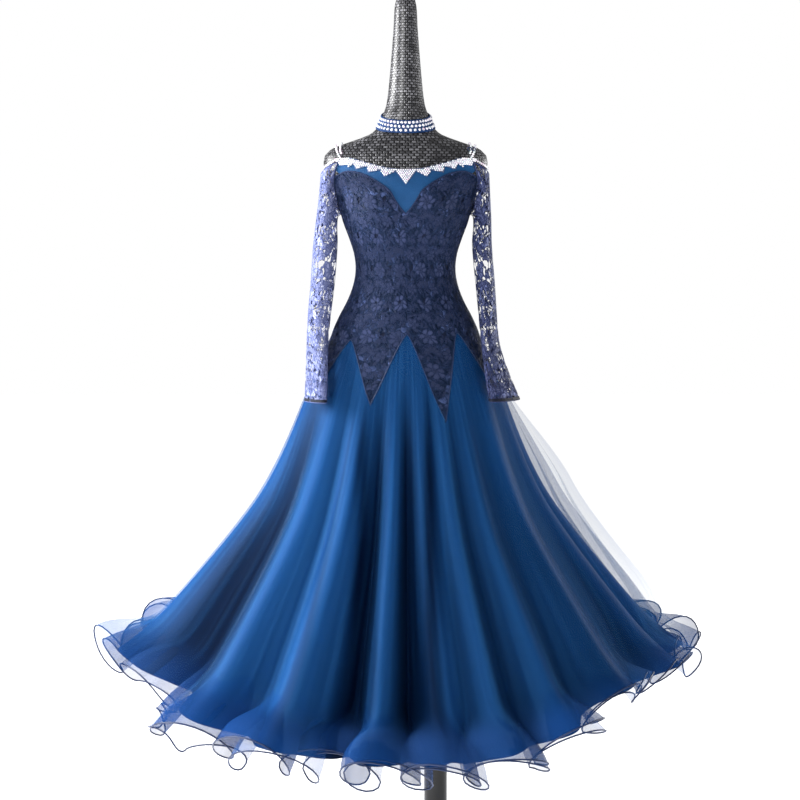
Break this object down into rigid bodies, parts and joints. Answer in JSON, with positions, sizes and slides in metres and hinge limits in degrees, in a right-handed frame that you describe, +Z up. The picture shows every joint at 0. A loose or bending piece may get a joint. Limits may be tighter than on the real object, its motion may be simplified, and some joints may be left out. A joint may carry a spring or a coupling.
{
  "type": "ballroom dance dress on a dress form",
  "caption": "Floor-length ballroom dress with a fitted lace bodice, lace sleeves and a flared godet skirt, worn by a limbless dress form on a pole and round base.",
  "frame": {"origin": "on the floor under the torso's axis, at the underside of the base", "axes": "+Z up, the front of the dress faces -Y, the wearer's left side is towards +X"},
  "size_m": [1.3286, 1.1245, 1.86],
  "materials": {
    "lace": "matt corded floral lace",
    "lining": "smooth stretch cloth",
    "satin": "soft satin sheen",
    "organza": "sheer plain weave",
    "stones": "cut glass stones in metal cups",
    "band": "smooth stretch cloth",
    "form_cloth": "shiny woven cover",
    "form_board": "satin black",
    "pole": "gloss black"
  },
  "bodies": {
    "root": {"choker": "band", "form_base": "pole", "form_flange": "form_board", "form_pole": "pole", "form_torso": "form_cloth", "lace_back": "lace", "lace_front": "lace", "lining_back": "lining", "lining_front": "lining", "neckline_trim": "stones", "organza_godet_1": "organza", "organza_godet_2": "organza", "organza_godet_3": "organza", "organza_godet_4": "organza", "organza_godet_5": "organza", "organza_godet_6": "organza", "organza_godet_7": "organza", "organza_godet_8": "organza", "satin_godet_1": "satin", "satin_godet_2": "satin", "satin_godet_3": "satin", "satin_godet_4": "satin", "satin_godet_5": "satin", "satin_godet_6": "satin", "satin_godet_7": "satin", "satin_godet_8": "satin", "shoulder_strand_left": "stones", "shoulder_strand_right": "stones", "sleeve_left_back": "lace", "sleeve_left_front": "lace", "sleeve_right_back": "lace", "sleeve_right_front": "lace", "strap_left": "stones", "strap_right": "stones"}
  },
  "joints": []
}
